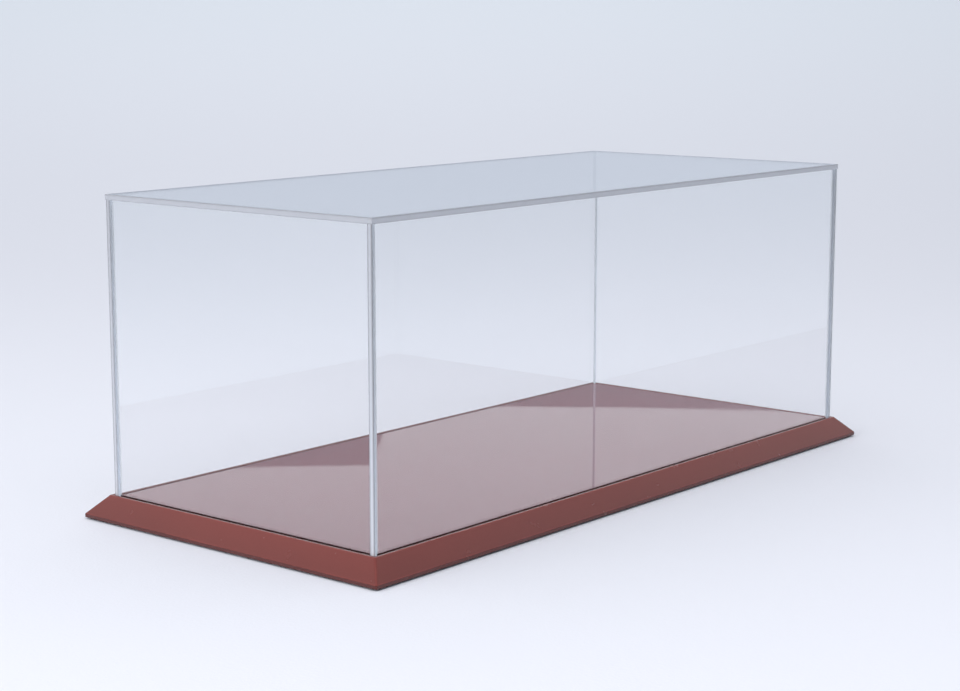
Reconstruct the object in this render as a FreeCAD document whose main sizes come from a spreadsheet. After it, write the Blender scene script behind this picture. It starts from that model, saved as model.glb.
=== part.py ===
import FreeCAD, Part
import math
import os
import Sketcher

# A table-top display case: a clear cover of five cemented acrylic sheets that drops into a
# groove round the edge of a bevelled base. The base is four mitred rails round a deck board,
# stiffened by battens underneath, and it stands on thin round pads.
#
# Millimetres, +Z up. X runs along the length, the front is -Y, and the origin is the middle
# of the footprint, on the surface that the pads stand on.

DIMENSIONS = [
    # alias, value, meaning
    ("cover_length", 720, "outside length of the cover's walls"),
    ("cover_width", 320, "outside width of the cover's walls"),
    ("cover_rise", 272, "top of the cover above the rim of the base"),
    ("sheet_thickness", 5, "acrylic sheet"),
    ("top_overhang", 0.5, "top sheet past the walls, all round"),
    ("sheet_arris", 0.4, "polished bevel on each open edge of a sheet"),
    ("groove_clearance", 0.4, "gap each side of a wall in its groove"),
    ("seal_thickness", 1, "felt strip that a wall stands on"),
    ("rim_width", 3.1, "flat top of a rail, outside the groove"),
    ("bevel_run", 16.3, "width of a rail's bevel, seen from above"),
    ("moulding_height", 20, "height of a rail"),
    ("moulding_edge", 3.2, "upright foot of a rail, below its bevel"),
    ("shelf_overlap", 12, "width of a rail's shelf under the deck board"),
    ("corner_round", 2, "rounding of the base's upright corners and hips, in plan"),
    ("rim_round", 1.4, "rounding where the bevel meets the rim"),
    ("edge_round", 1, "rounding where the bevel meets the upright foot"),
    ("arris_round", 0.5, "rounding of the smaller edges of the rails"),
    ("deck_thickness", 6, "deck board, which lies level with the rim"),
    ("deck_round", 0.7, "rounding of the deck board's upper edge"),
    ("batten_width", 44, "cross batten under the deck board"),
    ("dowel_diameter", 6, "dowel from a batten into a rail"),
    ("dowel_length", 24, "half in the batten and half in the rail"),
    ("dowel_spacing", 24, "between the two dowels in a batten's end"),
    ("dowel_tip", 0.8, "chamfer at a dowel's ends"),
    ("key_length", 20, "corner key, along the mitre"),
    ("key_width", 16, "corner key, across the mitre"),
    ("key_thickness", 3, "corner key"),
    ("key_height", 4, "underside of a corner key above the rail's underside"),
    ("key_clearance", 0.2, "gap at each edge of a corner key in its slot"),
    ("screw_diameter", 3.5, "shank of a wood screw"),
    ("screw_bite", 4, "length of a screw in the deck board"),
    ("screw_clearance", 0.3, "gap round a shank where the hole clears it"),
    ("head_diameter", 7, "countersunk head"),
    ("recess_span", 4, "cross recess in a head, tip to tip"),
    ("recess_slot", 1, "width of each slot of the recess"),
    ("recess_depth", 1.2, "depth of the recess"),
    ("screw_tip", 1, "chamfer at a screw's point"),
    ("foot_diameter", 18, "round pad"),
    ("foot_height", 1.5, "thickness of a pad"),
    ("foot_round", 0.4, "rounding of a pad's lower edge"),
    ("foot_inset", 48, "centre of a corner pad from the end of the base"),
]

# What follows from the driving dimensions, as expressions on the sheet.
RIM = "(dims.foot_height + dims.moulding_height)"
SHELF = f"({RIM} - dims.deck_thickness)"
SHELF_HEIGHT = "(dims.moulding_height - dims.deck_thickness)"
WALL_FOOT = f"({SHELF} + dims.seal_thickness)"
WALL_TOP = f"({RIM} + dims.cover_rise - dims.sheet_thickness)"
MARGIN = "(dims.groove_clearance + dims.rim_width + dims.bevel_run)"
GROOVE = "(dims.sheet_thickness + 2 * dims.groove_clearance)"
RAIL_WIDTH = f"(dims.bevel_run + dims.rim_width + {GROOVE} + dims.shelf_overlap)"
HALF_LENGTH = f"(dims.cover_length / 2 + {MARGIN})"
HALF_WIDTH = f"(dims.cover_width / 2 + {MARGIN})"
WELL_X = f"({HALF_LENGTH} - {RAIL_WIDTH})"
WELL_Y = f"({HALF_WIDTH} - {RAIL_WIDTH})"
SCREW_X = f"({WELL_X} + dims.shelf_overlap / 2)"
SCREW_Y = f"({WELL_Y} + dims.shelf_overlap / 2)"
SCREW_LENGTH = f"({SHELF_HEIGHT} + dims.screw_bite)"
BATTEN_PITCH = f"({WELL_X} / 2)"
DOWEL_Z = f"(dims.foot_height + {SHELF_HEIGHT} / 2)"
KEY_Z = "(dims.foot_height + dims.key_height)"
# A key is centred between the inner edge of its mitre and the middle of the bevel.
KEY_INSET = f"((dims.bevel_run / 2 + {RAIL_WIDTH}) / 2)"
KEY_X = f"({HALF_LENGTH} - {KEY_INSET})"
KEY_Y = f"({HALF_WIDTH} - {KEY_INSET})"

SIDES = (-1, 1)
BATTENS = {"left": -1, "middle": 0, "right": 1}
SQRT_HALF = 0.5**0.5
SPLIT_ROOM = 5  # how far a splitting wedge runs past the rail that it keeps

doc = FreeCAD.newDocument("display_case")
sheet = doc.addObject("Spreadsheet::Sheet", "dims")
parts = []


def fill_sheet():
    for row, (alias, number, meaning) in enumerate(DIMENSIONS, start=1):
        sheet.set(f"A{row}", meaning)
        sheet.set(f"B{row}", str(number))
        sheet.setAlias(f"B{row}", alias)
    doc.recompute()


def number(expression):
    """The value that an expression has now."""
    return float(sheet.evalExpression(expression))


def times(factor, expression):
    return f"({factor} * {expression})"


# ---------------------------------------------------------------- sketches and features


def new_body(label):
    body = doc.addObject("PartDesign::Body", label)
    body.Label = label
    return body


def new_sketch(body, label, plane="XY_Plane", offset=None):
    """A sketch on one of the body's own origin planes, moved along the plane's normal."""
    sketch = body.newObject("Sketcher::SketchObject", label)
    support = [p for p in body.Origin.OriginFeatures if p.Role == plane][0]
    sketch.AttachmentSupport = (support, [""])
    sketch.MapMode = "FlatFace"
    if offset is not None:
        sketch.setExpression("AttachmentOffset.Base.z", offset)
    return sketch


def place_point(sketch, geometry, position, x, y):
    """Ties one point of the sketch to two expressions, measured from its origin."""
    for axis, expression, line in (("X", x, -2), ("Y", y, -1)):
        if abs(number(expression)) < 1e-9:
            rule = Sketcher.Constraint("PointOnObject", geometry, position, line)
            sketch.addConstraint(rule)
            continue
        kind = "Distance" + axis
        here = number(expression)
        rule = Sketcher.Constraint(kind, -1, 1, geometry, position, here)
        index = sketch.addConstraint(rule)
        name = f"at{geometry}{axis}"
        sketch.renameConstraint(index, name)
        sketch.setExpression("Constraints." + name, expression)


def add_loop(sketch, corners):
    """A closed outline whose corners are pairs of expressions."""
    points = [FreeCAD.Vector(number(x), number(y), 0) for x, y in corners]
    first = sketch.GeometryCount
    count = len(points)
    for i in range(count):
        sketch.addGeometry(Part.LineSegment(points[i], points[(i + 1) % count]), False)
    for i in range(count):
        following = first + (i + 1) % count
        rule = Sketcher.Constraint("Coincident", first + i, 2, following, 1)
        sketch.addConstraint(rule)
    for i, (x, y) in enumerate(corners):
        place_point(sketch, first + i, 1, x, y)


def add_rounded_rectangle(sketch, half_x, half_y, radius):
    """A closed outline of four lines and four corner arcs, counter-clockwise."""
    up = FreeCAD.Vector(0, 0, 1)
    r = number(radius)
    arcs = []
    for quarter, (i, j) in enumerate(((1, 1), (-1, 1), (-1, -1), (1, -1))):
        x, y = times(i, f"({half_x} - {radius})"), times(j, f"({half_y} - {radius})")
        circle = Part.Circle(FreeCAD.Vector(number(x), number(y), 0), up, r)
        start = quarter * math.pi / 2
        index = sketch.addGeometry(Part.ArcOfCircle(circle, start, start + math.pi / 2), False)
        place_point(sketch, index, 3, x, y)
        rule = Sketcher.Constraint("Radius", index, r)
        name = f"round{index}"
        sketch.renameConstraint(sketch.addConstraint(rule), name)
        sketch.setExpression("Constraints." + name, radius)
        level, upright = (1, 2) if quarter % 2 == 0 else (2, 1)
        sketch.addConstraint(Sketcher.Constraint("Horizontal", index, level, index, 3))
        sketch.addConstraint(Sketcher.Constraint("Vertical", index, upright, index, 3))
        arcs.append(index)
    for this, following in zip(arcs, arcs[1:] + arcs[:1]):
        start = sketch.getPoint(this, 2)
        line = sketch.addGeometry(Part.LineSegment(start, sketch.getPoint(following, 1)), False)
        sketch.addConstraint(Sketcher.Constraint("Coincident", this, 2, line, 1))
        sketch.addConstraint(Sketcher.Constraint("Coincident", line, 2, following, 1))


def add_circles(sketch, centres, diameter):
    """Circles of one diameter, with their centres at pairs of expressions."""
    up = FreeCAD.Vector(0, 0, 1)
    for x, y in centres:
        centre = FreeCAD.Vector(number(x), number(y), 0)
        index = sketch.GeometryCount
        sketch.addGeometry(Part.Circle(centre, up, number(diameter) / 2), False)
        rule = Sketcher.Constraint("Diameter", index, number(diameter))
        name = f"size{index}"
        sketch.renameConstraint(sketch.addConstraint(rule), name)
        sketch.setExpression("Constraints." + name, diameter)
        place_point(sketch, index, 3, x, y)


def rectangle(half_x, half_y):
    return [(times(i, half_x), times(j, half_y)) for i, j in ((-1, -1), (1, -1), (1, 1), (-1, 1))]


def feature(body, kind, label, sketch, length, **settings):
    """A Pad or a Pocket of a sketch, with its length bound to an expression."""
    made = body.newObject("PartDesign::" + kind, label)
    made.Profile = sketch
    for name, setting in settings.items():
        setattr(made, name, setting)
    made.setExpression("Length", length)
    return made


def cut_check(body, label, before):
    """A cut that misses the solid shows no error, so its volume is compared."""
    doc.recompute()
    if body.Shape.Volume > before - 1e-3:
        raise RuntimeError(f"{body.Label}: {label} removes nothing")


def pocket(body, label, sketch, length, **settings):
    doc.recompute()
    before = body.Shape.Volume
    made = feature(body, "Pocket", label, sketch, length, **settings)
    cut_check(body, label, before)
    return made


def screw_holes(body, label, centres):
    """Countersunk clearance holes, drilled upwards from the underside of the base."""
    doc.recompute()
    before = body.Shape.Volume
    sketch = new_sketch(body, label + "_centres", offset="dims.foot_height")
    clear = "(dims.screw_diameter + 2 * dims.screw_clearance)"
    add_circles(sketch, centres, clear)
    doc.recompute()
    hole = body.newObject("PartDesign::Hole", label)
    hole.Profile = sketch
    hole.DepthType = "ThroughAll"
    hole.Reversed = True
    hole.HoleCutType = "Countersink"
    hole.HoleCutCustomValues = True
    hole.HoleCutCountersinkAngle = 90
    hole.setExpression("Diameter", clear)
    hole.setExpression("HoleCutDiameter", "dims.head_diameter")
    cut_check(body, label, before)


def edges_at(shape, test):
    """Names of the edges whose two ends and middle all satisfy test(point)."""
    names = []
    for i, edge in enumerate(shape.Edges, start=1):
        middle = edge.valueAt((edge.FirstParameter + edge.LastParameter) / 2)
        ends = [v.Point for v in edge.Vertexes]
        if all(test(p) for p in [middle, *ends]):
            names.append(f"Edge{i}")
    return names


def dress(body, kind, label, size, test):
    """A Fillet or a Chamfer on the edges of the body's tip that satisfy test(point)."""
    doc.recompute()
    tip = body.Tip
    names = edges_at(tip.Shape, test)
    if not names:
        raise RuntimeError(f"{body.Label}: {label} finds no edge")
    made = body.newObject("PartDesign::" + kind, label)
    made.Base = (tip, names)
    made.setExpression("Radius" if kind == "Fillet" else "Size", size)
    doc.recompute()
    return made


def near(a, b):
    return abs(a - b) < 1e-4


def keep(made, solids=1):
    """Lists an object as a sub-part, with the number of separate solids it must have."""
    parts.append((made, solids))
    return made


# ---------------------------------------------------------------- the acrylic cover


def cover_wall(label, run, reach, turn, open_ends):
    """One wall, made with its run along X and its outer face towards -Y, then turned."""
    body = new_body(label)
    sketch = new_sketch(body, label + "_plan", offset=WALL_FOOT)
    half = f"({run} / 2)"
    outer, inner = times(-1, reach), f"(dims.sheet_thickness - {reach})"
    left, right = times(-1, half), half
    add_loop(sketch, [(left, outer), (right, outer), (right, inner), (left, inner)])
    feature(body, "Pad", label + "_sheet", sketch, f"{WALL_TOP} - {WALL_FOOT}")
    foot, face, back, end = number(WALL_FOOT), number(outer), number(inner), number(half)

    def on_foot(p):
        return near(p.z, foot) and (near(p.y, face) or near(p.y, back))

    def on_end(p):
        return near(p.y, face) and near(abs(p.x), end)

    dress(body, "Chamfer", label + "_foot_arris", "dims.sheet_arris", on_foot)
    if open_ends:
        dress(body, "Chamfer", label + "_end_arris", "dims.sheet_arris", on_end)
    turned = FreeCAD.Rotation(FreeCAD.Vector(0, 0, 1), turn)
    body.Placement = FreeCAD.Placement(FreeCAD.Vector(), turned)
    keep(body)


def cover():
    long_run, long_reach = "dims.cover_length", "(dims.cover_width / 2)"
    end_run = "(dims.cover_width - 2 * dims.sheet_thickness)"
    end_reach = "(dims.cover_length / 2)"
    cover_wall("cover_front", long_run, long_reach, 0, True)
    cover_wall("cover_right", end_run, end_reach, 90, False)
    cover_wall("cover_rear", long_run, long_reach, 180, True)
    cover_wall("cover_left", end_run, end_reach, 270, False)

    body = new_body("cover_top")
    sketch = new_sketch(body, "cover_top_plan", offset=WALL_TOP)
    half_x = "(dims.cover_length / 2 + dims.top_overhang)"
    half_y = "(dims.cover_width / 2 + dims.top_overhang)"
    add_loop(sketch, rectangle(half_x, half_y))
    feature(body, "Pad", "cover_top_sheet", sketch, "dims.sheet_thickness")
    under, top = number(WALL_TOP), number(f"{WALL_TOP} + dims.sheet_thickness")

    def on_face(p):
        return near(p.z, under) or near(p.z, top)

    dress(body, "Chamfer", "cover_top_arris", "dims.sheet_arris", on_face)
    keep(body)


# ---------------------------------------------------------------- the base's rails


def rail_screw_centres():
    """Four screws up through each long rail's shelf and two through each end rail's."""
    along = [times(k / 2, BATTEN_PITCH) for k in (-3, -1, 1, 3)]
    across = [times(k / 2, WELL_Y) for k in SIDES]
    long_rails = [(x, times(side, SCREW_Y)) for side in SIDES for x in along]
    end_rails = [(times(side, SCREW_X), y) for side in SIDES for y in across]
    return long_rails + end_rails


def batten_screw_centres(x):
    return [(x, times(k / 3, f"(2 * {WELL_Y})")) for k in (-1, 0, 1)]


def all_batten_screw_centres():
    """The same screws, in the base's own frame."""
    return [c for k in BATTENS.values() for c in batten_screw_centres(times(k, BATTEN_PITCH))]


def dowel_centres(x="0"):
    """Two dowels side by side in a batten's end, as X and Z."""
    return [(f"({x} + {k / 2} * dims.dowel_spacing)", DOWEL_Z) for k in SIDES]


def all_dowel_centres():
    return [c for k in BATTENS.values() for c in dowel_centres(times(k, BATTEN_PITCH))]


def key_outline(side_x, side_y, spare):
    """A corner key's outline: its length lies along the mitre, at 45 degrees."""
    along = f"((dims.key_length / 2 + {spare}) * {SQRT_HALF})"
    across = f"((dims.key_width / 2 + {spare}) * {SQRT_HALF})"
    corners = []
    for i, j in ((-1, -1), (1, -1), (1, 1), (-1, 1)):
        out_x = f"({i} * {along} - {j} * {across})"
        out_y = f"({i} * {along} + {j} * {across})"
        x = times(side_x, f"({KEY_X} + {out_x})")
        y = times(side_y, f"({KEY_Y} + {out_y})")
        corners.append((x, y))
    return corners


def moulding():
    """The four rails as one ring, as they are when the glued-up base is sanded."""
    body = new_body("moulding")
    ground = new_sketch(body, "moulding_plan", offset="dims.foot_height")
    add_rounded_rectangle(ground, HALF_LENGTH, HALF_WIDTH, "dims.corner_round")
    feature(body, "Pad", "upright_foot", ground, "dims.moulding_edge")

    lower = new_sketch(body, "bevel_foot", offset="(dims.foot_height + dims.moulding_edge)")
    add_rounded_rectangle(lower, HALF_LENGTH, HALF_WIDTH, "dims.corner_round")
    upper = new_sketch(body, "bevel_top", offset=RIM)
    top_x, top_y = f"({HALF_LENGTH} - dims.bevel_run)", f"({HALF_WIDTH} - dims.bevel_run)"
    add_rounded_rectangle(upper, top_x, top_y, "dims.corner_round")
    bevel = body.newObject("PartDesign::AdditiveLoft", "bevel")
    bevel.Profile = lower
    bevel.Sections = [upper]
    bevel.Ruled = True

    foot, edge = number("dims.foot_height"), number("dims.foot_height + dims.moulding_edge")
    rim = number(RIM)
    dress(body, "Fillet", "rim_fillet", "dims.rim_round", lambda p: near(p.z, rim))
    dress(body, "Fillet", "edge_fillet", "dims.edge_round", lambda p: near(p.z, edge))
    dress(body, "Fillet", "foot_fillet", "dims.arris_round", lambda p: near(p.z, foot))

    groove = new_sketch(body, "groove_plan", offset=RIM)
    groove_x = f"({HALF_LENGTH} - dims.bevel_run - dims.rim_width)"
    groove_y = f"({HALF_WIDTH} - dims.bevel_run - dims.rim_width)"
    add_loop(groove, rectangle(groove_x, groove_y))
    pocket(body, "shelf", groove, "dims.deck_thickness")
    inside_x, inside_y = number(groove_x), number(groove_y)

    def on_rim_inside(p):
        beside = near(abs(p.x), inside_x) or near(abs(p.y), inside_y)
        return near(p.z, rim) and beside

    dress(body, "Fillet", "rim_inside_fillet", "dims.arris_round", on_rim_inside)

    well = new_sketch(body, "well_plan", offset=SHELF)
    add_loop(well, rectangle(WELL_X, WELL_Y))
    pocket(body, "well", well, SHELF_HEIGHT)

    slots = new_sketch(body, "key_slots", offset=KEY_Z)
    for side_x in SIDES:
        for side_y in SIDES:
            add_loop(slots, key_outline(side_x, side_y, "dims.key_clearance"))
    pocket(body, "key_slot", slots, "dims.key_thickness", Reversed=True)

    screw_holes(body, "rail_screw_holes", rail_screw_centres())

    dowels = new_sketch(body, "rail_dowel_centres", plane="XZ_Plane")
    add_circles(dowels, all_dowel_centres(), "dims.dowel_diameter")
    reach = f"(2 * {WELL_Y} + dims.dowel_length)"
    pocket(body, "rail_dowel_holes", dowels, reach, SideType="Symmetric")
    return body


def rail(label, ring, corners):
    """One rail: what the ring has between two mitre planes."""
    wedge = new_body(label + "_wedge")
    sketch = new_sketch(wedge, label + "_mitres")
    add_loop(sketch, corners)
    feature(wedge, "Pad", label + "_span", sketch, f"({RIM} + {SPLIT_ROOM})")
    made = doc.addObject("Part::Common", label)
    made.Label = label
    made.Base = ring
    made.Tool = wedge
    return keep(made)


def rails():
    ring = moulding()
    out_x, out_y = f"({HALF_LENGTH} + {SPLIT_ROOM})", f"({HALF_WIDTH} + {SPLIT_ROOM})"
    in_x, in_y = f"({WELL_X} - {SPLIT_ROOM})", f"({WELL_Y} - {SPLIT_ROOM})"
    for name, side in (("front_rail", -1), ("rear_rail", 1)):
        corners = [
            (times(-side, out_x), times(side, out_y)),
            (times(side, out_x), times(side, out_y)),
            (times(side, in_x), times(side, in_y)),
            (times(-side, in_x), times(side, in_y)),
        ]
        rail(name, ring, corners)
    for name, side in (("left_rail", -1), ("right_rail", 1)):
        corners = [
            (times(side, out_x), times(side, out_y)),
            (times(side, out_x), times(-side, out_y)),
            (times(side, in_x), times(-side, in_y)),
            (times(side, in_x), times(side, in_y)),
        ]
        rail(name, ring, corners)


def corner_keys():
    for name_y, side_y in (("front", -1), ("rear", 1)):
        for name_x, side_x in (("left", -1), ("right", 1)):
            label = f"corner_key_{name_y}_{name_x}"
            body = new_body(label)
            sketch = new_sketch(body, label + "_plan", offset=KEY_Z)
            add_loop(sketch, key_outline(side_x, side_y, "0"))
            feature(body, "Pad", label + "_ply", sketch, "dims.key_thickness")
            keep(body)


# ---------------------------------------------------------------- deck board and battens


def deck_board():
    body = new_body("deck_board")
    sketch = new_sketch(body, "deck_plan", offset=SHELF)
    inset = "(dims.sheet_thickness + dims.groove_clearance)"
    half_x = f"(dims.cover_length / 2 - {inset})"
    half_y = f"(dims.cover_width / 2 - {inset})"
    add_loop(sketch, rectangle(half_x, half_y))
    feature(body, "Pad", "deck", sketch, "dims.deck_thickness")
    rim = number(RIM)
    dress(body, "Fillet", "deck_edge", "dims.deck_round", lambda p: near(p.z, rim))
    pilots = new_sketch(body, "pilot_centres", offset=SHELF)
    centres = rail_screw_centres() + all_batten_screw_centres()
    add_circles(pilots, centres, "dims.screw_diameter")
    pocket(body, "pilot_holes", pilots, "dims.screw_bite", Reversed=True)
    keep(body)


def battens():
    for name, place in BATTENS.items():
        label = f"batten_{name}"
        body = new_body(label)
        sketch = new_sketch(body, label + "_plan", offset="dims.foot_height")
        add_loop(sketch, rectangle("(dims.batten_width / 2)", WELL_Y))
        feature(body, "Pad", label + "_block", sketch, SHELF_HEIGHT)
        screw_holes(body, label + "_screw_holes", batten_screw_centres("0"))
        for end, reverse in ((WELL_Y, False), (times(-1, WELL_Y), True)):
            side = "rear" if reverse else "front"
            ends = new_sketch(body, f"{label}_{side}_dowels", "XZ_Plane", offset=end)
            add_circles(ends, dowel_centres(), "dims.dowel_diameter")
            title = f"{label}_{side}_dowel_holes"
            pocket(body, title, ends, "(dims.dowel_length / 2)", Reversed=reverse)
        body.setExpression("Placement.Base.x", times(place, BATTEN_PITCH))
        keep(body)


def batten_dowels():
    body = new_body("batten_dowels")
    for name, joint in (("front", WELL_Y), ("rear", times(-1, WELL_Y))):
        sketch = new_sketch(body, f"{name}_dowel_centres", "XZ_Plane", offset=joint)
        add_circles(sketch, all_dowel_centres(), "dims.dowel_diameter")
        length = "dims.dowel_length"
        feature(body, "Pad", f"{name}_dowels", sketch, length, SideType="Symmetric")
    joint = number(WELL_Y)
    half = number("dims.dowel_length / 2")

    def on_tip(p):
        return near(abs(abs(p.y) - joint), half)

    dress(body, "Chamfer", "dowel_tips", "dims.dowel_tip", on_tip)
    keep(body, len(all_dowel_centres()) * 2)


# ---------------------------------------------------------------- screws, pads, felt


def recess_outline():
    """The cross of a screw's recess: the same three corners, turned four times."""
    span, slot = "(dims.recess_span / 2)", "(dims.recess_slot / 2)"
    corners = []
    for cosine, sine in ((1, 0), (0, 1), (-1, 0), (0, -1)):
        for u, v in ((span, times(-1, slot)), (span, slot), (slot, slot)):
            x = f"({cosine} * {u} - {sine} * {v})"
            y = f"({sine} * {u} + {cosine} * {v})"
            corners.append((x, y))
    return corners


def wood_screw():
    """A countersunk wood screw on its own axis, point upwards, its head on the ground."""
    body = new_body("wood_screw")
    shank = new_sketch(body, "shank_plan")
    add_circles(shank, [("0", "0")], "dims.screw_diameter")
    feature(body, "Pad", "shank", shank, SCREW_LENGTH)
    point = number(SCREW_LENGTH)
    dress(body, "Chamfer", "point", "dims.screw_tip", lambda p: near(p.z, point))
    head = new_sketch(body, "head_plan")
    add_circles(head, [("0", "0")], "dims.head_diameter")
    head_height = "((dims.head_diameter - dims.screw_diameter) / 2)"
    feature(body, "Pad", "head", head, head_height, TaperAngle=-45)
    recess = new_sketch(body, "recess_plan")
    add_loop(recess, recess_outline())
    pocket(body, "recess", recess, "dims.recess_depth", Reversed=True)
    return body


def screw_group(label, screw, centres):
    """The same screw at each centre, as one group of separate solids."""
    links = []
    for i, (x, y) in enumerate(centres):
        link = doc.addObject("App::Link", f"{label}_{i}")
        link.LinkedObject = screw
        link.setExpression("Placement.Base.x", x)
        link.setExpression("Placement.Base.y", y)
        link.setExpression("Placement.Base.z", "dims.foot_height")
        links.append(link)
    group = doc.addObject("Part::Compound", label)
    group.Label = label
    group.Links = links
    keep(group, len(centres))


def screws():
    screw = wood_screw()
    screw_group("rail_screws", screw, rail_screw_centres())
    screw_group("batten_screws", screw, all_batten_screw_centres())


def feet():
    along = f"({HALF_LENGTH} - dims.foot_inset)"
    across = f"({HALF_WIDTH} - {RAIL_WIDTH} / 2)"
    for name_y, side_y in (("front", -1), ("rear", 1)):
        for name_x, place_x in BATTENS.items():
            label = f"foot_{name_y}_{name_x}"
            body = new_body(label)
            sketch = new_sketch(body, label + "_plan")
            add_circles(sketch, [("0", "0")], "dims.foot_diameter")
            feature(body, "Pad", label + "_pad", sketch, "dims.foot_height")
            dress(body, "Fillet", label + "_edge", "dims.foot_round", lambda p: near(p.z, 0))
            body.setExpression("Placement.Base.x", times(place_x, along))
            body.setExpression("Placement.Base.y", times(side_y, across))
            keep(body)


def seals():
    """Felt strips on the shelf, one under each wall of the cover."""
    half_x, half_y = "(dims.cover_length / 2)", "(dims.cover_width / 2)"
    end_run = "(dims.cover_width - 2 * dims.sheet_thickness)"
    left, front, end = times(-1, half_x), times(-1, half_y), times(-1 / 2, end_run)
    right, rear = f"({half_x} - dims.sheet_thickness)", f"({half_y} - dims.sheet_thickness)"
    strips = (
        ("seal_front", "dims.cover_length", "dims.sheet_thickness", left, front),
        ("seal_rear", "dims.cover_length", "dims.sheet_thickness", left, rear),
        ("seal_left", "dims.sheet_thickness", end_run, left, end),
        ("seal_right", "dims.sheet_thickness", end_run, right, end),
    )
    for label, length, width, x, y in strips:
        strip = doc.addObject("Part::Box", label)
        strip.Label = label
        strip.setExpression("Length", length)
        strip.setExpression("Width", width)
        strip.setExpression("Height", "dims.seal_thickness")
        strip.setExpression("Placement.Base.x", x)
        strip.setExpression("Placement.Base.y", y)
        strip.setExpression("Placement.Base.z", SHELF)
        keep(strip)


# ---------------------------------------------------------------- build, check and write


def check_document():
    for item in doc.Objects:
        if {"Invalid", "Error"} & set(item.State):
            raise RuntimeError(f"{item.Label} failed: {item.State}")
    for made, solids in parts:
        shape = made.Shape
        if shape.isNull() or not shape.isValid():
            raise RuntimeError(f"{made.Label} has no valid shape")
        if len(shape.Solids) != solids:
            raise RuntimeError(f"{made.Label} has {len(shape.Solids)} solids, not {solids}")


def write_parts():
    os.makedirs("parts", exist_ok=True)
    for made, _ in parts:
        made.Shape.exportStep(f"parts/{made.Label}.step")
        print(f"{made.Label}: {made.Shape.Volume / 1000:.2f} cm3")


fill_sheet()
cover()
rails()
corner_keys()
deck_board()
battens()
batten_dowels()
screws()
feet()
seals()
doc.recompute()
check_document()
write_parts()
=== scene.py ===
"""The finishes, screws and studio of a table-top display case, round its fixed CAD frame."""

import math

import bmesh
import bpy
from bpy.props import FloatProperty, FloatVectorProperty, IntProperty, PointerProperty
from bpy.types import Operator, Panel, PropertyGroup
from mathutils import Matrix, Vector


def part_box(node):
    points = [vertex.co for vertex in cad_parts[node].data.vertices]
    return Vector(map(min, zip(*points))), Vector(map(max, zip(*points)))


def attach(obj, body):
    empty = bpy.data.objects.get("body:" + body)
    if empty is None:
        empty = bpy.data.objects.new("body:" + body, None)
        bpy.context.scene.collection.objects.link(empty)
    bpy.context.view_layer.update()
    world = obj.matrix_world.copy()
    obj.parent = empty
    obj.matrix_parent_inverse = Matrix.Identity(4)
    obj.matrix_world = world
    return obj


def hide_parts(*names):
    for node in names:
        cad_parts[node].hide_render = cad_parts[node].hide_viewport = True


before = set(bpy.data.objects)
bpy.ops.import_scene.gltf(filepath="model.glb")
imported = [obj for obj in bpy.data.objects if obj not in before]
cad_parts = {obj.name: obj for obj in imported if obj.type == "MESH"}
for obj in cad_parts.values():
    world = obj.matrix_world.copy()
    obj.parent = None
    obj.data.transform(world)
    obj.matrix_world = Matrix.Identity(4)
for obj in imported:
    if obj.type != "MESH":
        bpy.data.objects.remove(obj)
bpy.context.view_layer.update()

bl_info = {
    "name": "Display Case",
    "version": (1, 0, 0),
    "blender": (4, 5, 0),
    "location": "View3D > Sidebar > Display Case",
    "description": "Finishes a clear cover on a bevelled base, and sets it in a pale studio",
    "category": "Object",
}

COVER_SHEETS = ("cover_top", "cover_front", "cover_rear", "cover_left", "cover_right")
LONG_RAILS = ("front_rail", "rear_rail")
END_RAILS = ("left_rail", "right_rail")
BATTENS = ("batten_left", "batten_middle", "batten_right")
CORNER_KEYS = tuple(f"corner_key_{a}_{b}" for a in ("front", "rear") for b in ("left", "right"))
SCREW_GROUPS = ("rail_screws", "batten_screws")
SEALS = ("seal_front", "seal_rear", "seal_left", "seal_right")
PADS = tuple(f"foot_{a}_{b}" for a in ("front", "rear") for b in ("left", "middle", "right"))
# Painted bands of light and shade in a cut edge: place across the sheet, from its inner or lower
# side, and brightness.
WALL_LIGHT_BANDS = ((0.0, 0.3), (0.24, 0.82), (0.45, 1.0), (0.7, 0.86), (1.0, 0.34))
LID_LIGHT_BANDS = ((0.0, 0.86), (0.2, 0.98), (0.66, 0.96), (0.82, 0.8), (1.0, 0.66))
TINY = 0.00005  # a twentieth of a millimetre, to tell one face from the next
ON_FACE = 0.3  # how near to its face a point has to be, as a ridge's height
# Depths of the finishes' relief.
GRAIN_DEPTH, PLY_DEPTH, FLECK_DEPTH, FELT_DEPTH = 0.0003, 0.0002, 0.0001, 0.0004
TURNING_DEPTH, CRUMB_DEPTH, TOOTH_DEPTH, BUBBLE_DEPTH = 0.00002, 0.00015, 0.0002, 0.00002
# Shares of a second colour mixed into a finish.
STROKED, FIBRED, PLY = 0.3, 0.35, 0.5
# For the rails: worn edges with a painted highlight, painted light up the bevel, painted shade on
# the upright foot.
RUBBED_AND_HIGHLIGHT, BEVEL_PAINTED_LIGHT, SHADED = 0.4, 0.35, 0.55
BLACK = (0.0, 0.0, 0.0, 1.0)
# Shares of shine in a bead's surface, and of its body over what shows through it.
BEAD_SHINE, BEAD_BODY = 0.4, 0.6
PLIES_PER_METRE = 500.0
# A screw's plain neck under its head, its tip, and where the tip starts to close.
SCREW_NECK, SCREW_TIP, SCREW_CLOSING = 0.0015, 0.003, 0.001
SMALL_BEVEL = 0.0002
THREAD_SLOPE = 3.0
CLOSING_WIDTH = 0.55  # of the shank's, where the tip starts to close
RECESS_ABOVE = 0.001  # how far the recess's cutter stands out of the head
RECESS_MOUTH, RECESS_FLOOR = 1.1, 0.6  # shares of the cross's full width
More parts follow.
